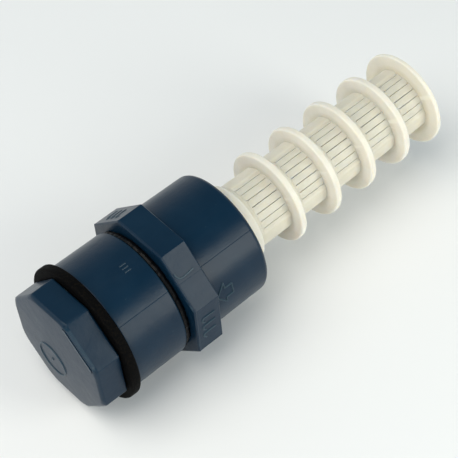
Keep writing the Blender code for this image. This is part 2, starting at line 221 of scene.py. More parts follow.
def rounded(points, steps=4):
    """A profile with rounded corners. A point is (station, size) or (station, size, corner radius)."""
    rows = []
    for i, point in enumerate(points):
        here = Vector(point[:2])
        fillet = point[2] if len(point) > 2 else 0.0
        if not fillet or i in (0, len(points) - 1):
            rows.append((here.x, here.y))
            continue
        before = Vector(points[i - 1][:2]) - here
        after = Vector(points[i + 1][:2]) - here
        opening = before.angle(after)
        back = min(fillet / math.tan(opening / 2), 0.49 * before.length, 0.49 * after.length)
        fillet = back * math.tan(opening / 2)
        start = here + before.normalized() * back
        end = here + after.normalized() * back
        centre = here + (before.normalized() + after.normalized()).normalized() * (
            fillet / math.sin(opening / 2)
        )
        for k in range(steps + 1):
            arm = (start - centre).lerp(end - centre, k / steps).normalized() * fillet
            rows.append((centre.x + arm.x, centre.y + arm.y))
    return rows


def shaped(points, make_shape, steps=4):
    """Rows of a rounded profile, with each size turned into an outline by make_shape."""
    return [(station, make_shape(size)) for station, size in rounded(points, steps)]


def angle_list(count, corners=(), corner_spread=(), seams=False):
    """Evenly spaced angles, with extra ones where an octagon's corners and the mould seams need them."""
    near_seam = (-0.7, -0.45, -0.22, 0.22, 0.45, 0.7)
    least_gap = math.radians(0.04)
    angles = [2 * math.pi * i / count for i in range(count)]
    for corner in corners:
        angles += [corner + offset for offset in corner_spread]
    if seams:
        for seam in SEAM_ANGLES:
            angles += [seam + math.radians(offset) for offset in near_seam]
    angles = sorted(angle % (2 * math.pi) for angle in angles)
    kept = [angles[0]]
    for angle in angles[1:]:
        if angle - kept[-1] > least_gap:
            kept.append(angle)
    return kept


def octagon_angles(turn, seams, corner_limit):
    """Angles for a piece with an octagonal stretch. The limit is about half a rounded corner's angle."""
    corners = [turn + math.pi / 8 + k * math.pi / 4 for k in range(8)]
    spread = [corner_limit * share for share in (-1.0, -0.66, -0.33, 0.0, 0.33, 0.66, 1.0)]
    return angle_list(192, corners, spread, seams)


def add_rows(verts, rows, angles):
    """Adds the vertices of each row and returns the index of each row's first vertex."""
    starts = []
    for station, shape in rows:
        starts.append(len(verts))
        verts.extend(place(station, shape(angle), angle) for angle in angles)
    return starts


def strip(faces, first, second, count, skip=()):
    """Adds the band of faces between two rows, without those at the indexes to skip."""
    for i in range(count):
        if i in skip:
            continue
        j = (i + 1) % count
        faces.append((first + i, second + i, second + j, first + j))


def make_object(name, verts, faces, material):
    """A mesh object with its faces turned outwards and smooth shading up to the crease angle."""
    data = bpy.data.meshes.new(name)
    data.from_pydata(verts, [], faces)
    mesh = bmesh.new()
    mesh.from_mesh(data)
    bmesh.ops.recalc_face_normals(mesh, faces=mesh.faces)
    mesh.to_mesh(data)
    mesh.free()
    data.materials.append(material)
    data.shade_smooth()
    data.set_sharp_from_angle(angle=CREASE)
    piece = bpy.data.objects.new(name, data)
    bpy.context.collection.objects.link(piece)
    weighted = piece.modifiers.new("even_shading", "WEIGHTED_NORMAL")
    weighted.keep_sharp = True
    weighted.weight = 80
    return piece


def turned(name, rows, angles, material, bored=True):
    """A solid from rows that run once round its section, or from cap to cap if it isn't bored."""
    verts, faces = [], []
    starts = add_rows(verts, rows, angles)
    count = len(angles)
    for first, second in zip(starts, starts[1:]):
        strip(faces, first, second, count)
    if bored:
        strip(faces, starts[-1], starts[0], count)
    else:
        faces.append(tuple(range(starts[0], starts[0] + count)))
        faces.append(tuple(range(starts[-1], starts[-1] + count)))
    return make_object(name, verts, faces, material)


def settle(piece, body, node):
    """Puts a fine piece on its CAD body, in place of the CAD node if it names one."""
    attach(piece, body)
    if node:
        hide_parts(node)
    return piece


# ---------------------------------------------------------------- materials
# Noise scales are in cycles per metre, and bump distances in metres.

def set_stops(node, stops):
    """Gives a colour ramp its stops. Each is (position, colour or grey level)."""
    elements = node.color_ramp.elements
    while len(elements) < len(stops):
        elements.new(0.5)
    for element, (position, colour) in zip(elements, stops):
        element.position = position
        level = colour if isinstance(colour, tuple) else (colour, colour, colour)
        element.color = (*level, 1.0)


class Nodes:
    """Short calls for building a material's node tree."""

    def __init__(self, name):
        self.material = bpy.data.materials.new(name)
        self.material.use_nodes = True
        self.tree = self.material.node_tree
        self.shader = self.tree.nodes["Principled BSDF"]
        self.coordinates = self.tree.nodes.new("ShaderNodeTexCoord").outputs["Object"]

    def link(self, source, target):
        self.tree.links.new(source, target)

    def noise(self, scale, detail, roughness, stretch=None):
        """Noise in the object's own space. A stretch below 1 draws it out along that axis."""
        node = self.tree.nodes.new("ShaderNodeTexNoise")
        node.inputs["Scale"].default_value = scale
        node.inputs["Detail"].default_value = detail
        node.inputs["Roughness"].default_value = roughness
        source = self.coordinates
        if stretch:
            mapping = self.tree.nodes.new("ShaderNodeMapping")
            mapping.inputs["Scale"].default_value = stretch
            self.link(source, mapping.inputs["Vector"])
            source = mapping.outputs["Vector"]
        self.link(source, node.inputs["Vector"])
        return node.outputs["Fac"]

    def ramp(self, source, stops):
        """A colour ramp over a source."""
        node = self.tree.nodes.new("ShaderNodeValToRGB")
        set_stops(node, stops)
        self.link(source, node.inputs["Fac"])
        return node.outputs["Color"]

    def mix(self, factor, first, second):
        """Mixes two colours, each a socket or a tuple. The factor is a socket."""
        node = self.tree.nodes.new("ShaderNodeMix")
        node.data_type = "RGBA"
        self.link(factor, node.inputs["Factor"])
        for value, socket in ((first, node.inputs["A"]), (second, node.inputs["B"])):
            if isinstance(value, tuple):
                socket.default_value = (*value, 1.0)
            else:
                self.link(value, socket)
        return node.outputs["Result"]

    def blend_levels(self, factor, low, high):
        """A grey level from low to high."""
        node = self.tree.nodes.new("ShaderNodeMapRange")
        node.inputs["To Min"].default_value = low
        node.inputs["To Max"].default_value = high
        self.link(factor, node.inputs["Value"])
        return node.outputs["Result"]

    def away_from_axis(self, near, far):
        """Rises from 0 to 1 between two distances from the valve's axis, in millimetres."""
        mapping = self.tree.nodes.new("ShaderNodeMapping")
        mapping.inputs["Location"].default_value = (0.0, 0.0, -AXIS_Z)
        mapping.inputs["Scale"].default_value = (0.0, 1.0, 1.0)
        length = self.tree.nodes.new("ShaderNodeVectorMath")
        length.operation = "LENGTH"
        share = self.tree.nodes.new("ShaderNodeMapRange")
        share.inputs["From Min"].default_value = near * MM
        share.inputs["From Max"].default_value = far * MM
        self.link(self.coordinates, mapping.inputs["Vector"])
        self.link(mapping.outputs["Vector"], length.inputs[0])
        self.link(length.outputs["Value"], share.inputs["Value"])
        return share.outputs["Result"]

    def edges(self, low, high):
        """Rises from 0 to 1 on the mesh's outer edges."""
        pointiness = self.tree.nodes.new("ShaderNodeNewGeometry").outputs["Pointiness"]
        return self.ramp(pointiness, [(low, 0.0), (high, 1.0)])

    def bump(self, height, distance, strength, under=None):
        """A bump from a height, on top of the bump under it."""
        node = self.tree.nodes.new("ShaderNodeBump")
        node.inputs["Distance"].default_value = distance
        node.inputs["Strength"].default_value = strength
        self.link(height, node.inputs["Height"])
        if under:
            self.link(under, node.inputs["Normal"])
        return node.outputs["Normal"]

    def surface(self, colour, roughness, normal, **levels):
        """Wires the shader. Levels are set on the shader's own sockets."""
        self.link(colour, self.shader.inputs["Base Color"])
        self.link(roughness, self.shader.inputs["Roughness"])
        self.link(normal, self.shader.inputs["Normal"])
        for name, value in levels.items():
            self.shader.inputs[name.replace("_", " ")].default_value = value
        return self.material


def pvc_material(name, dark, light, worn):
    """Blue-grey moulded PVC: cloudy colour, a slight orange peel, and paler worn edges."""
    nodes = Nodes(name)
    clouds = nodes.noise(55.0, 4.0, 0.6)
    streaks = nodes.noise(300.0, 3.0, 0.6, stretch=(0.12, 1.0, 1.0))
    colour = nodes.ramp(clouds, [(0.3, dark), (0.7, light)])
    rubbed = nodes.mix(nodes.edges(0.52, 0.6), colour, worn)
    scuffs = nodes.ramp(nodes.noise(900.0, 2.0, 0.7, stretch=(0.35, 1.0, 1.0)), [(0.72, 0.0), (0.78, 0.5)])
    colour = nodes.mix(scuffs, rubbed, worn)
    dull = nodes.blend_levels(streaks, 0.25, 0.36)
    waves = nodes.bump(nodes.noise(110.0, 2.0, 0.5), 0.00025, 0.6)
    peel = nodes.bump(nodes.noise(700.0, 2.0, 0.5), 0.00006, 0.6, under=waves)
    grain = nodes.bump(nodes.noise(5200.0, 2.0, 0.6), 0.00002, 0.5, under=peel)
    return nodes.surface(colour, dull, grain, Specular_IOR_Level=0.2, IOR=1.5)


def rubber_material(name, base, dusty, roughness, shine=0.04):
    """Black rubber with a fine speckle, small lumps and a little dust."""
    nodes = Nodes(name)
    dust = nodes.ramp(nodes.noise(1400.0, 4.0, 0.75), [(0.5, base), (0.78, dusty)])
    dull = nodes.blend_levels(nodes.noise(420.0, 3.0, 0.6), *roughness)
    lumps = nodes.bump(nodes.noise(650.0, 3.0, 0.6), 0.00025, 0.8)
    grain = nodes.bump(nodes.noise(4200.0, 2.0, 0.6), 0.00003, 0.6, under=lumps)
    return nodes.surface(dust, dull, grain, Specular_IOR_Level=shine)


def polypropylene_material(name):
    """Natural polypropylene: creamy, blotchy and slightly translucent, with painted shade on the tube
    between the flanges and a painted highlight on the edges.
    """
    nodes = Nodes(name)
    clouds = nodes.noise(150.0, 5.0, 0.65)
    # Painted shade: near the axis, on the tube between the flanges, the colour is a darker copy of the
    # flanges' colour.
    shaded_wall = nodes.ramp(clouds, [(0.3, (0.625, 0.588, 0.49)), (0.7, (0.675, 0.635, 0.535))])
    flanges = nodes.ramp(clouds, [(0.3, (0.69, 0.66, 0.585)), (0.7, (0.74, 0.708, 0.635))])
    colour = nodes.mix(nodes.away_from_axis(TUBE_BASE + 0.6, TUBE_BASE + 2.6), shaded_wall, flanges)
    # Painted highlight: the outer edges and flange rims are coloured paler.
    colour = nodes.mix(nodes.edges(0.54, 0.64), colour, (0.77, 0.74, 0.66))
    dull = nodes.blend_levels(nodes.noise(260.0, 3.0, 0.6), 0.38, 0.6)
    waves = nodes.bump(nodes.noise(230.0, 2.0, 0.5), 0.00025, 0.5)
    peel = nodes.bump(nodes.noise(900.0, 3.0, 0.6), 0.00006, 0.6, under=waves)
    grain = nodes.bump(nodes.noise(4600.0, 2.0, 0.6), 0.00002, 0.5, under=peel)
    nodes.shader.inputs["Subsurface Radius"].default_value = (1.0, 0.85, 0.6)
    return nodes.surface(
        colour, dull, grain, Subsurface_Weight=0.8, Subsurface_Scale=0.004, Specular_IOR_Level=0.3
    )


def acetal_material(name):
    """Smooth white acetal."""
    nodes = Nodes(name)
    colour = nodes.ramp(nodes.noise(90.0, 3.0, 0.5), [(0.3, (0.70, 0.70, 0.67)), (0.7, (0.78, 0.78, 0.75))])
    dull = nodes.blend_levels(nodes.noise(400.0, 3.0, 0.6), 0.28, 0.4)
    grain = nodes.bump(nodes.noise(3600.0, 2.0, 0.6), 0.00002, 0.5)
    return nodes.surface(colour, dull, grain, Subsurface_Weight=0.1, Subsurface_Scale=0.001)


def steel_material(name):
    """Drawn stainless steel with fine lines along its surface."""
    nodes = Nodes(name)
    lines = nodes.noise(2600.0, 3.0, 0.7, stretch=(0.15, 1.0, 1.0))
    colour = nodes.ramp(lines, [(0.3, (0.42, 0.42, 0.43)), (0.7, (0.58, 0.58, 0.59))])
    dull = nodes.blend_levels(nodes.noise(700.0, 3.0, 0.6), 0.2, 0.36)
    grain = nodes.bump(lines, 0.00002, 0.4)
    return nodes.surface(colour, dull, grain, Metallic=1.0)


PVC = pvc_material("blue_grey_pvc", (0.0018, 0.0145, 0.033), (0.0038, 0.019, 0.040), (0.03, 0.055, 0.075))
FAINT_PVC = pvc_material("faint_pvc", (0.0025, 0.016, 0.035), (0.0045, 0.021, 0.042), (0.010, 0.030, 0.052))
POPPET_PVC = pvc_material("poppet_pvc", (0.02, 0.045, 0.068), (0.026, 0.055, 0.08), (0.07, 0.1, 0.12))
WASHER_RUBBER = rubber_material(
    "washer_rubber", (0.0008, 0.0009, 0.0012), (0.012, 0.009, 0.0055), (0.6, 0.75)
)
GASKET_RUBBER = rubber_material(
    "greased_rubber", (0.0008, 0.0008, 0.0012), (0.004, 0.004, 0.004), (0.2, 0.6), shine=0.14
)
SEAL_RUBBER = rubber_material("seal_rubber", (0.006, 0.006, 0.006), (0.015, 0.014, 0.013), (0.35, 0.55))
POLYPROPYLENE = polypropylene_material("natural_polypropylene")
ACETAL = acetal_material("white_acetal")
STEEL = steel_material("stainless_steel")


# ---------------------------------------------------------------- outlet plug and its washer

def face_station(share):
    """Station of the domed plug face, at a share of the way from its middle to its edge."""
    return FACE_EDGE - FACE_CROWN * (1 - share ** 2)


def make_outlet_plug():
    """An octagonal head with a slightly domed face, and a hollow threaded shank."""
    corner_at_face, corner_behind, corner_fade = 13.0, 0.9, 1.3
    face_shares = (0.03, 0.12, 0.25, 0.4, 0.55, 0.7, 0.82)
    edge_share = 0.88

    def octagon(station, size):
        fade = math.exp(-((station / corner_fade) ** 2))
        corner = corner_behind + (corner_at_face - corner_behind) * fade
        return octagon_shape(size, min(corner, size * 0.45), PLUG_TURN)

    face = [(face_station(share), PLUG_FLAT * share) for share in face_shares]
    face += rounded(
        [
            (face_station(edge_share), PLUG_FLAT * edge_share),
            (face_station(1.0), PLUG_FLAT - 0.03, 2.2),
            (HEAD_END - 0.7, PLUG_FLAT, 0.3),
            (HEAD_END, PLUG_FLAT - 0.7, 0.3),
            (HEAD_END, PLUG_FLAT - 2.0),
        ],
        steps=5,
    )
    rows = [(station, octagon(station, size)) for station, size in face]
    thread = OUTLET_THREAD - THREAD_SLACK
    rows.append((HEAD_END, round_shape(thread + 1.2)))
    rows += shaped(
        [(HEAD_END, thread + 0.8), (HEAD_END, thread - 0.3, 0.4), (HEAD_END + 1.6, thread - 0.3)],
        round_shape,
    )
    rows += thread_rows(thread, HEAD_END + 1.8, SHANK_END - 0.9)
    rows += shaped(
        [
            (SHANK_END - 0.8, thread - 0.1),
            (SHANK_END, thread - 1.0, 0.3),
            (SHANK_END, SHANK_BORE, 0.4),
            (SHANK_FLOOR + 1.5, SHANK_BORE - 0.5, 1.2),
            (SHANK_FLOOR + 0.1, SHANK_BORE - 4.0),
            (SHANK_FLOOR, 1.0),
        ],
        round_shape,
    )
    angles = octagon_angles(PLUG_TURN, False, math.radians(0.68))
    return turned("screw_plug", rows, angles, PVC, bored=False)


def make_plug_washer():
    """A flat rubber ring whose rim swells a little in the middle."""
    start, end = WASHER_START, WASHER_END
    meet = (WASHER_BORE + WASHER_RADIUS) / 2
    rows = shaped(
        [
            (start, meet),
            (start, WASHER_RADIUS - 0.1, 0.9),
            (start + 2.3, WASHER_RADIUS, 0.5),
            (end, WASHER_RADIUS - 0.1, 0.8),
            (end, WASHER_BORE, 0.4),
            (start, WASHER_BORE, 0.4),
            (start, meet - 0.2),
        ],
        round_shape,
        steps=5,
    )
    return turned("rubber_washer", rows, angle_list(160), WASHER_RUBBER)


# ---------------------------------------------------------------- barrel, gasket and body

def make_outlet_barrel():
    """A round barrel with a threaded socket for the plug and a threaded spigot for the body."""
    spigot = BODY_THREAD - THREAD_SLACK
    socket = OUTLET_THREAD + THREAD_SLACK

    def outside(station, size):
        if size < BARREL_RADIUS - 1.2:
            return round_shape(size)
        fade = (BARREL_END - station) / (BARREL_END - BARREL_START)
        return seamed(round_shape(size), 0.03 + 0.13 * fade, 0.2)

    outline = rounded(
        [
            (BARREL_START, 27.0),
            (BARREL_START, BARREL_RADIUS, 0.7),
            (BARREL_END, BARREL_RADIUS - 0.15, 0.9),
            (BARREL_END, spigot + 0.2, 0.3),
            (BARREL_END + 1.0, spigot - 0.4),
        ]
    )
    rows = [(station, outside(station, size)) for station, size in outline]
    rows += thread_rows(spigot, BARREL_END + 1.2, SPIGOT_END - 0.8)
    rows += shaped(
        [
            (SPIGOT_END - 0.6, spigot - 0.5),
            (SPIGOT_END, spigot - 1.2, 0.3),
            (SPIGOT_END, BARREL_BORE, 0.4),
            (SOCKET_FLOOR + 1.1, BARREL_BORE, 0.6),
            (SOCKET_FLOOR, socket + 0.7, 0.3),
            (SOCKET_FLOOR - 0.3, socket + 0.2),
        ],
        round_shape,
    )
    rows += thread_rows(socket, SOCKET_FLOOR - 0.5, BARREL_START + 1.0)
    rows += shaped(
        [
            (BARREL_START + 0.9, socket + 0.2),
            (BARREL_START, socket + 1.3, 0.2),
            (BARREL_START, 26.0),
        ],
        round_shape,
    )
    return turned("threaded_barrel", rows, angle_list(192, seams=True), PVC)


def squeezed(size):
    """The gasket's outline: round in its bore, and ragged where it is squeezed out."""
    if size < GASKET_RADIUS - 1.5:
        return round_shape(size)

    def radius(angle):
        swells = math.sin(7 * angle + 1.3) * math.sin(3 * angle)
        crumbs = math.sin(31 * angle) * math.sin(11 * angle + 0.6)
        nicks = math.sin(73 * angle) * math.sin(19 * angle + 2.1)
        return size - 0.3 * (1.5 + 0.7 * swells + 0.8 * crumbs + 0.7 * nicks)

    return radius


def make_barrel_gasket():
    """A soft ring squeezed out a little unevenly between barrel and band."""
    inner = BODY_THREAD + 0.4
    middle = (GASKET_START + GASKET_END) / 2

    rows = shaped(
        [
            (GASKET_START, inner + 1.5),
            (GASKET_START, GASKET_RADIUS - 0.35, 0.5),
            (middle, GASKET_RADIUS, 1.0),
            (GASKET_END, GASKET_RADIUS - 0.35, 0.5),
            (GASKET_END, inner, 0.3),
            (GASKET_START, inner, 0.3),
            (GASKET_START, inner + 1.0),
        ],
        squeezed,
    )
    return turned("gasket_ring", rows, angle_list(240), GASKET_RUBBER)


def make_valve_body():
    """The octagonal band and round hub, with bores for the cage, the seat and the strainer."""
    thread = BODY_THREAD + THREAD_SLACK

    def octagon(size):
        return seamed(octagon_shape(size, BAND_CORNER), 0.045)

    def outside(size):
        return seamed(round_shape(size), 0.09)

    rows = shaped(
        [
            (BAND_START, 30.0),
            (BAND_START, BAND_FLAT - 0.7, 0.3),
            (BAND_START + 0.4, BAND_FLAT, 0.25),
            (BAND_START + 0.8, BAND_FLAT, 0.2),
            (BAND_START + 1.1, LABEL_FLAT, 0.2),
            (BAND_END - 0.4, LABEL_FLAT, 0.3),
            (BAND_END, LABEL_FLAT - 0.4, 0.3),
            (BAND_END, HUB_RADIUS + 1.2),
        ],
        octagon,
    )
    rows += shaped(
        [
            (BAND_END, HUB_RADIUS + 0.7),
            (BAND_END, HUB_RADIUS, 0.5),
            (HUB_END, HUB_RADIUS - 0.3, 2.3),
            (HUB_END, 24.5),
        ],
        outside,
        steps=7,
    )
    rows += shaped(
        [
            (HUB_END, 24.0),
            (HUB_END, 20.9, 0.3),
            (HUB_END - 0.9, STRAINER_BORE, 0.3),
            (STRAINER_STOP, STRAINER_BORE, 0.6),
            (STRAINER_STOP, PORT_BORE, 0.5),
            (SEAT_STOP, PORT_BORE, 0.5),
            (SEAT_STOP, CAGE_BORE, 0.4),
            (CAGE_STOP, CAGE_BORE, 0.4),
            (CAGE_STOP, thread + 0.6, 0.3),
            (CAGE_STOP - 0.7, thread + 0.5),
        ],
        round_shape,
    )
    rows += thread_rows(thread, CAGE_STOP - 1.1, BAND_START + 1.0)
    rows += shaped(
        [
            (BAND_START + 0.8, thread + 0.3),
            (BAND_START, thread + 1.2, 0.3),
            (BAND_START, 29.0),
        ],
        round_shape,
    )
    return turned("octagon_body", rows, octagon_angles(0.0, True, math.radians(0.44)), PVC)


# ---------------------------------------------------------------- strainer

def slot_layout(half_angle):
    """Angles of the strainer's mesh, and the indexes of the cells that a slot cuts."""
    pitch = 2 * math.pi / SLOT_PLACES
    per_panel = SLOT_PLACES // PANEL_COUNT
    first = PANEL_CENTRE - (SLOTS_PER_PANEL - 1) / 2 * pitch
    lip = math.radians(0.45)
    edge = half_angle + lip
    bar = pitch - 2 * edge
    offsets = [-edge, -half_angle, half_angle, edge, edge + bar / 4, edge + bar / 2, edge + bar * 3 / 4]
    angles, cut = [], set()
    for i in range(SLOT_PLACES):
        if i % per_panel < SLOTS_PER_PANEL:
            cut.add(len(angles) + 1)
        angles += [first + i * pitch + offset for offset in offsets]
    return angles, cut


def rib_share(angle):
    """1 on the three solid ribs between the slotted panels, and 0 on the panels."""
    per_panel = 2 * math.pi / PANEL_COUNT
    pitch = 2 * math.pi / SLOT_PLACES
    away = abs((angle - PANEL_CENTRE + per_panel / 2) % per_panel - per_panel / 2)
    panel_edge = (SLOTS_PER_PANEL - 1) / 2 * pitch + math.radians(3.0)
    share = (away - panel_edge) / math.radians(3.0)
    share = min(max(share, 0.0), 1.0)
    return share * share * (3 - 2 * share)


def near_slot(angle):
    """1 at a slot's own edges, and 0 on the bars and ribs."""
    pitch = 2 * math.pi / SLOT_PLACES
    away = abs((angle - PANEL_CENTRE + pitch / 2) % pitch - pitch / 2)
    if rib_share(angle) > 0.0:
        return 0.0
    return 1.0 if away < SLOT_HALF_ANGLE * 1.05 else 0.0


def tube_shape(size, ring, lip=0.0):
    """The tube's outline. Ribs stand proud all along it, and where ring is 1 so does the whole ring."""
    step = RIB_HEIGHT + WINDOW_DEPTH
    return lambda angle: size - WINDOW_DEPTH + step * max(ring, rib_share(angle)) - lip * near_slot(angle)


def tube_size(station):
    """The tapering tube's radius at a station, before windows are sunk and ribs raised."""
    share = (station - COLLAR_END) / (END_FLANGE_START - COLLAR_END)
    return TUBE_BASE + (TUBE_TIP - TUBE_BASE) * share


def collar_rows():
    """Outside of the base collar, with a groove for its O-ring, down to the tube."""
    tube = TUBE_BASE + RIB_HEIGHT
    return shaped(
        [
            (COLLAR_START, 17.5),
            (COLLAR_START, COLLAR_RADIUS, 0.7),
            (GROOVE_START, COLLAR_RADIUS, 0.2),
            (GROOVE_START, COLLAR_RADIUS - GROOVE_DEPTH, 0.3),
            (GROOVE_END, COLLAR_RADIUS - GROOVE_DEPTH, 0.3),
            (GROOVE_END, COLLAR_RADIUS, 0.2),
            (COLLAR_END - 0.6, COLLAR_RADIUS, 1.0),
            (COLLAR_END - 0.1, tube, 0.8),
            (COLLAR_END + 1.4, tube),
        ],
        round_shape,
    )


def add_slot_walls(faces, cut, rows, near, far):
    """The four walls of each slot in a window, from the outer rows to the near and far inner rows."""
    for i in cut:
        for side in (i, i + 1):
            faces.append(tuple([row + side for row in rows] + [far + side, near + side]))
        faces.append((rows[0] + i, rows[0] + i + 1, near + i + 1, near + i))
        faces.append((rows[-1] + i, rows[-1] + i + 1, far + i + 1, far + i))


def make_strainer():
    """A base collar, then a slotted tube with ring flanges and a closed end."""
    angles, cut = slot_layout(SLOT_HALF_ANGLE)
    inner_angles, _ = slot_layout(SLOT_HALF_ANGLE * SLOT_DRAFT)
    flanges = [FLANGE_FIRST + FLANGE_PITCH * k for k in range(FLANGE_COUNT)]
    starts = [COLLAR_END + COLLAR_TO_SLOT] + [s + FLANGE_ROOT + FLANGE_TO_SLOT for s in flanges]
    ends = [s - SLOT_TO_FLANGE for s in flanges + [END_FLANGE_START]]
    panels = list(zip(starts, ends))
    outer = collar_rows()
    inner = shaped(
        [
            (COLLAR_START, 17.0),
            (COLLAR_START, COLLAR_BORE, 0.5),
            (COLLAR_BORE_END, COLLAR_BORE, 0.5),
            (COLLAR_BORE_END + 2.0, TUBE_BASE - TUBE_WALL),
        ],
        round_shape,
    )
    outer_cut, inner_cut = [], []
    for k, (start, end) in enumerate(panels):
        outer += [(start - before, tube_shape(tube_size(start), ring)) for before, ring in WINDOW_EDGE]
        outer_cut.append(len(outer))
        thirds = [start + (end - start) * share for share in (0.0, 0.33, 0.67, 1.0)]
        outer += [(s, tube_shape(tube_size(s), 0.0, 0.1)) for s in thirds]
        inner_cut.append(len(inner))
        inner += [(s, round_shape(tube_size(s) - TUBE_WALL)) for s in (start, end)]
        if k < FLANGE_COUNT:
            outer += flange_rows(flanges[k])
    outer += end_flange_rows()
    inner.append((END_FLANGE_START + 0.2, round_shape(TUBE_TIP - TUBE_WALL - 0.1)))
    inner.append((END_FLANGE_START + 0.5, round_shape(TUBE_TIP - TUBE_WALL - 0.9)))
    inner.append((END_FLANGE_START + 0.5, round_shape(0.8)))
    verts, faces = [], []
    count = len(angles)
    outer_first = add_rows(verts, outer, angles)
    inner_first = add_rows(verts, inner, inner_angles)
    for r, (first, second) in enumerate(zip(outer_first, outer_first[1:])):
        in_panel = any(at <= r < at + 3 for at in outer_cut)
        strip(faces, first, second, count, cut if in_panel else ())
    for r, (first, second) in enumerate(zip(inner_first, inner_first[1:])):
        strip(faces, first, second, count, cut if r in inner_cut else ())
    for at, inner_at in zip(outer_cut, inner_cut):
        add_slot_walls(faces, cut, outer_first[at:at + 4], *inner_first[inner_at:inner_at + 2])
    strip(faces, outer_first[0], inner_first[0], count)
    for last in (outer_first[-1], inner_first[-1]):
        faces.append(tuple(range(last, last + count)))
    return make_object("slotted_strainer", verts, faces, POLYPROPYLENE)


def flange_rows(start):
    """One ring flange, from the window's end before it to the raised ring behind it."""
    root = tube_size(start)
    lean = (FLANGE_ROOT - FLANGE_RIM) / 2
    end = start + FLANGE_ROOT
    near = rounded(
        [
            (start - 0.25, root - WINDOW_DEPTH),
            (start, root - WINDOW_DEPTH, 0.22),
            (start + lean, FLANGE_RADIUS, 0.9),
            (end - lean, FLANGE_RADIUS - 0.05, 1.0),
            (end, root + RIB_HEIGHT, 1.6),
            (end + 2.0, root + RIB_HEIGHT),
        ],
        steps=6,
    )
    return [(station, flange_outline(station, size, start, root)) for station, size in near]


def flange_outline(station, size, start, root):
    """A flange's outline. Next to the window its foot follows the ribs."""
    if station > start + 1.0 or size > root + 1.5:
        return round_shape(size)
    fade = min(max((size - root + WINDOW_DEPTH) / (RIB_HEIGHT + WINDOW_DEPTH), 0.0), 1.0)
    lift = (RIB_HEIGHT + WINDOW_DEPTH) * (1 - fade)
    return lambda angle: size + lift * rib_share(angle)


def end_flange_rows():
    """The closed end: a last flange with a shallow dished face."""
    root = TUBE_TIP
    rows = rounded(
        [
            (END_FLANGE_START - 0.25, root - WINDOW_DEPTH),
            (END_FLANGE_START, root - WINDOW_DEPTH, 0.22),
            (END_FLANGE_START + 0.3, END_FLANGE_RADIUS, 0.8),
            (STRAINER_END, END_FLANGE_RADIUS - 0.1, 0.9),
            (STRAINER_END, END_FLANGE_RADIUS - 3.2, 0.3),
            (STRAINER_END - 0.7, END_FLANGE_RADIUS - 4.2, 0.4),
            (STRAINER_END - 0.7, 2.4, 0.2),
            (STRAINER_END - 0.2, 2.1, 0.2),
            (STRAINER_END - 0.2, 0.6),
        ],
        steps=6,
    )
    return [(station, flange_outline(station, size, END_FLANGE_START, root)) for station, size in rows]


# ---------------------------------------------------------------- moulded marks

def raised_section(height, width):
    """Section of a raised line: (distance to the side, lift) from one foot to the other."""
    foot, shoulder = width / 2, width / 5
    return ((-foot, -0.12), (-shoulder, height), (shoulder, height), (foot, -0.12))


MARK_LINE = raised_section(MARK_HEIGHT, MARK_WIDTH)


def wrapped_line(name, points, base, section, closed, material):
    """A line along points on a base, which turns a point and a lift into a place."""
    verts, faces = [], []
    count = len(points)
    for i, point in enumerate(points):
        before = points[i - 1] if closed or i else point
        after = points[(i + 1) % count] if closed or i < count - 1 else point
        along = (Vector(after) - Vector(before)).normalized()
        across = Vector((-along.y, along.x))
        for side, lift in section:
            spot = Vector(point) + across * side
            verts.append(base.point(spot, lift))
    wide = len(section)
    for i in range(count if closed else count - 1):
        j = (i + 1) % count
        for k in range(wide):
            m = (k + 1) % wide
            faces.append((wide * i + k, wide * i + m, wide * j + m, wide * j + k))
    if not closed:
        last = wide * (count - 1)
        faces.append(tuple(range(wide)))
        faces.append(tuple(range(last, last + wide)))
    return make_object(name, verts, faces, material)


class Side:
    """A stretch of round or octagonal side. Its points are (station, distance round or across the flat)."""

    def __init__(self, shape, centre, size):
        self.radius = shape
        self.centre = centre
        self.size = size
        self.flat = shape(centre) < shape(centre + math.radians(15)) - 0.3

    def point(self, spot, lift):
        turn = math.atan2(spot.y, self.size) if self.flat else spot.y / self.size
        angle = self.centre + turn
        return place(spot.x, self.radius(angle) + lift, angle)


class PlugFace:
    """The plug's outer face. Its points are (distance up, distance towards the camera's side)."""

    def point(self, spot, lift):
        station = face_station(spot.length / PLUG_FLAT) - lift
        return (PLUG_FACE_X + station * MM, -spot.y * MM, AXIS_Z + spot.x * MM)


def dense(points, closed=False):
    """The same polyline with points no further apart than the mark step."""
    result = []
    pairs = list(zip(points, points[1:] + points[:1])) if closed else list(zip(points, points[1:]))
    for a, b in pairs:
        a, b = Vector(a), Vector(b)
        count = max(1, math.ceil((b - a).length / MARK_STEP))
        result += [tuple(a.lerp(b, i / count)) for i in range(count)]
    if not closed:
        result.append(points[-1])
    return result


def arc(centre, radius, start, end, step=10):
    """Points on an arc in degrees, counted from the +station direction towards +distance."""
    count = max(1, round(abs(end - start) / step))
    turns = [math.radians(start + (end - start) * i / count) for i in range(count + 1)]
    return [(centre[0] + radius * math.cos(t), centre[1] + radius * math.sin(t)) for t in turns]


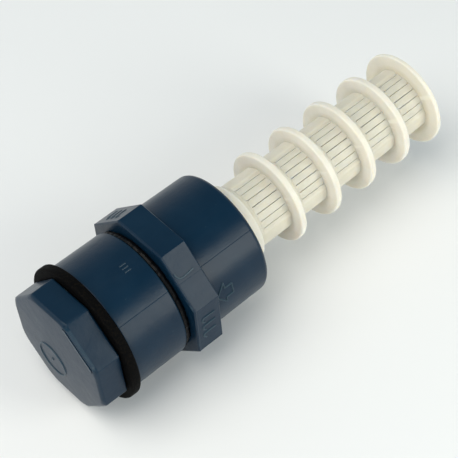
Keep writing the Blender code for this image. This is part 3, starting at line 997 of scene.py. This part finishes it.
def make_face_marks():
    """A lip along one flat's edge, and a plain ring and dot in place of the maker's sign."""
    turn = math.pi / 4 + PLUG_TURN
    out = Vector((math.cos(turn), math.sin(turn)))
    along = Vector((-out.y, out.x))
    path = (
        (PLUG_FLAT - 2.9, 11.0),
        (PLUG_FLAT - 1.7, 9.6),
        (PLUG_FLAT - 1.7, -9.6),
        (PLUG_FLAT - 2.9, -11.0),
    )
    lip = [tuple(out * away + along * side) for away, side in path]
    slope = ((-2.8, -0.1), (0.0, 0.52), (0.25, 0.5), (0.35, -0.1))
    rim = ((1.1, -0.1), (1.15, 0.25), (1.4, 0.25), (1.66, 0.0), (1.66, -1.6))
    sign_turn, sign_out, sign_radius = math.radians(208), 10.0, 8.8
    centre = (sign_out * math.cos(sign_turn), sign_out * math.sin(sign_turn))
    ring = arc(centre, sign_radius, 0, 354, step=6)
    dot = arc(centre, 0.45, 0, 330, step=30)
    face = PlugFace()
    return [
        wrapped_line("face_lip", dense(lip), face, slope + rim, False, FAINT_PVC),
        wrapped_line("face_ring", ring, face, MARK_LINE, True, PVC),
        wrapped_line("face_dot", dot, face, MARK_LINE, True, PVC),
    ]


def band_flat(turn):
    """The band's flat at an angle in degrees."""
    return Side(octagon_shape(LABEL_FLAT, BAND_CORNER), math.radians(turn), LABEL_FLAT)


def make_flow_arrow():
    """The raised arrow on the hub."""
    hub = Side(round_shape(HUB_RADIUS - 0.03), math.radians(78), HUB_RADIUS)
    tail, neck, tip = BAND_END + 10.6, BAND_END + 6.6, BAND_END + 1.8
    half_shaft, half_head = 2.6, 5.4
    path = [
        (tail, -half_shaft),
        (tail, half_shaft),
        (neck, half_shaft),
        (neck, half_head),
        (tip, 0.0),
        (neck, -half_head),
        (neck, -half_shaft),
    ]
    return wrapped_line("flow_arrow", dense(path, closed=True), hub, MARK_LINE, True, PVC)


def make_size_bars():
    """Short hooked lines on two of the band's flats, lower on the second."""
    middle = (BAND_START + BAND_END) / 2
    hook = 1.5
    bars = []
    for k, (turn, height) in enumerate(((90, MARK_HEIGHT), (-45, 0.6 * MARK_HEIGHT))):
        section = raised_section(height, MARK_WIDTH)
        flat = band_flat(turn)
        for n, offset in enumerate((-5.2, 0.0, 5.2)):
            path = arc((middle - 1.9, offset), hook, 90, 270) + [(middle + 3.4, offset - hook)]
            bars.append(wrapped_line(f"size_bar_{k}_{n}", dense(path), flat, section, False, PVC))
    return bars


def make_barrel_bars():
    """Three faint short bars on the barrel."""
    barrel = Side(round_shape(BARREL_RADIUS - 0.03), math.radians(10), BARREL_RADIUS)
    section = raised_section(0.12, 0.9)
    station = (BARREL_START + BARREL_END) / 2 + 5.0
    half = 1.6
    bars = []
    for n, offset in enumerate((-1.8, 0.0, 1.8)):
        path = dense([(station - half, offset), (station + half, offset)])
        bars.append(wrapped_line(f"barrel_bar_{n}", path, barrel, section, False, FAINT_PVC))
    return bars


def make_gate_trace():
    """The hook-shaped trace of the moulding gate on the band."""
    path = arc((BAND_START + 4.4, -4.4), 2.8, 190, 80) + [(BAND_START + 10.4, -2.2)]
    return wrapped_line("gate_trace", dense(path), band_flat(45), MARK_LINE, False, PVC)


def make_body_marks():
    """Plain raised marks in place of the moulded lettering, and the gate's trace."""
    return [make_flow_arrow(), *make_size_bars(), *make_barrel_bars(), make_gate_trace()]


# ---------------------------------------------------------------- inner pieces

def make_return_spring():
    """The coil spring as a round wire on its helix, with closed end turns."""
    start, end = span("return_spring")
    wire, radius = 0.55, 5.3
    turns_total, closed = 5.5, 0.9
    closed_pitch = 2.1 * wire
    low, high = start + wire, end - wire
    free_length = high - low - 2 * closed * closed_pitch
    per_turn, sides = 40, 14
    steps = round(turns_total * per_turn)
    verts, faces = [], []
    for i in range(steps + 1):
        turns = i / per_turn
        free = min(max((turns - closed) / (turns_total - 2 * closed), 0.0), 1.0)
        end_turns = min(turns, closed) + max(turns - turns_total + closed, 0.0)
        station = low + end_turns * closed_pitch + free_length * free
        for k in range(sides):
            around = 2 * math.pi * k / sides
            along, out = wire * math.sin(around), wire * math.cos(around)
            verts.append(place(station + along, radius + out, 2 * math.pi * turns))
    for i in range(steps):
        strip(faces, i * sides, (i + 1) * sides, sides)
    faces.append(tuple(range(sides)))
    faces.append(tuple(range(steps * sides, (steps + 1) * sides)))
    return make_object("coil_spring", verts, faces, STEEL)


def finish_inner_nodes():
    """CAD nodes whose shape is right keep it and get a real material."""
    looks = {
        "seat_ring": ACETAL,
        "guide_cage": ACETAL,
        "guide_bush": ACETAL,
        "seat_o_ring": SEAL_RUBBER,
        "strainer_o_ring": SEAL_RUBBER,
        "poppet_seal": SEAL_RUBBER,
        "poppet": POPPET_PVC,
        "seal_retainer": STEEL,
        "retainer_screw": STEEL,
        "spring_washer": STEEL,
    }
    for node, material in looks.items():
        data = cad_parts[node].data
        data.materials.clear()
        data.materials.append(material)


# ---------------------------------------------------------------- camera, floor and light

def make_camera():
    """From above the plug's end, a little rolled. Its place comes from fitting the photo's outlines."""
    lens = 129.65
    aim_station = 98.08
    offset = Vector((-0.2861, -0.3703, 0.5767))
    right = Vector((0.7419, -0.6677, -0.0597)).normalized()
    forward = Vector((0.3853, 0.4976, -0.7772)).normalized()
    right = (right - forward * right.dot(forward)).normalized()
    up = right.cross(forward)
    data = bpy.data.cameras.new("camera")
    data.lens = lens
    data.sensor_width = 36.0
    camera = bpy.data.objects.new("camera", data)
    turn = Matrix((right, up, -forward)).transposed()
    camera.matrix_world = Matrix.Translation(Vector(place(aim_station, 0.0, 0.0)) + offset) @ turn.to_4x4()
    bpy.context.collection.objects.link(camera)
    bpy.context.scene.camera = camera


def make_floor():
    """A plain white table."""
    half = 3.0
    corners = [(-half, -half, 0), (half, -half, 0), (half, half, 0), (-half, half, 0)]
    data = bpy.data.meshes.new("floor")
    data.from_pydata(corners, [], [(0, 1, 2, 3)])
    material = bpy.data.materials.new("white_table")
    material.use_nodes = True
    shader = material.node_tree.nodes["Principled BSDF"]
    shader.inputs["Base Color"].default_value = (0.83, 0.83, 0.83, 1.0)
    shader.inputs["Roughness"].default_value = 0.8
    shader.inputs["Specular IOR Level"].default_value = 0.1
    data.materials.append(material)
    floor = bpy.data.objects.new("floor", data)
    bpy.context.collection.objects.link(floor)


def softbox(name, way, distance, width, height, radiance, colour):
    """A soft light that faces the object from a direction. Its power follows from its radiance."""
    middle = Vector((0.0, 0.0, AXIS_Z))
    data = bpy.data.lights.new(name, "AREA")
    data.shape = "RECTANGLE"
    data.size = width
    data.size_y = height
    data.energy = radiance * math.pi * width * height
    data.color = colour
    light = bpy.data.objects.new(name, data)
    light.location = middle + Vector(way).normalized() * distance
    light.rotation_euler = (middle - light.location).to_track_quat("-Z", "Y").to_euler()
    bpy.context.collection.objects.link(light)


def make_lights():
    """Three softboxes: one from the camera's side, one from above, and one at the plug's end."""
    softbox("key_softbox", (0.377, -0.83, 0.34), 0.9, 0.4, 0.64, 5.4, (1.0, 1.0, 0.91))
    softbox("top_softbox", (-0.42, 0.1, 0.9), 1.2, 1.1, 1.1, 3.4, (1.0, 0.97, 0.9))
    softbox("end_softbox", (-0.88, -0.42, 0.18), 1.2, 0.75, 0.5, 1.7, (1.0, 0.98, 0.93))


def make_world():
    """A pale studio that darkens from the horizon upwards. A stop is (height of the direction, colour)."""
    world = bpy.data.worlds.new("studio")
    bpy.context.scene.world = world
    world.use_nodes = True
    tree = world.node_tree
    tree.nodes.clear()
    direction = tree.nodes.new("ShaderNodeTexCoord")
    height = tree.nodes.new("ShaderNodeSeparateXYZ")
    ramp = tree.nodes.new("ShaderNodeValToRGB")
    set_stops(
        ramp,
        [
            (0.0, (0.93, 0.94, 0.95)),
            (0.3, (0.6, 0.66, 0.70)),
            (0.65, (0.26, 0.37, 0.45)),
            (0.86, (0.05, 0.07, 0.09)),
        ],
    )
    background = tree.nodes.new("ShaderNodeBackground")
    output = tree.nodes.new("ShaderNodeOutputWorld")
    tree.links.new(direction.outputs["Generated"], height.inputs["Vector"])
    tree.links.new(height.outputs["Z"], ramp.inputs["Fac"])
    tree.links.new(ramp.outputs["Color"], background.inputs["Color"])
    tree.links.new(background.outputs["Background"], output.inputs["Surface"])
    bpy.context.scene.view_settings.view_transform = "Standard"


make_camera()
make_floor()
make_lights()
make_world()

settle(make_outlet_plug(), "plug", "outlet_plug")
settle(make_plug_washer(), "plug_seal", "plug_washer")
settle(make_outlet_barrel(), "valve", "outlet_barrel")
settle(make_barrel_gasket(), "valve", "barrel_gasket")
settle(make_valve_body(), "valve", "valve_body")
settle(make_strainer(), "strainer", "strainer")
for mark in make_body_marks():
    settle(mark, "valve", None)
for mark in make_face_marks():
    settle(mark, "plug", None)

spring = settle(make_return_spring(), "valve", "return_spring")
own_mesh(spring)
finish_inner_nodes()
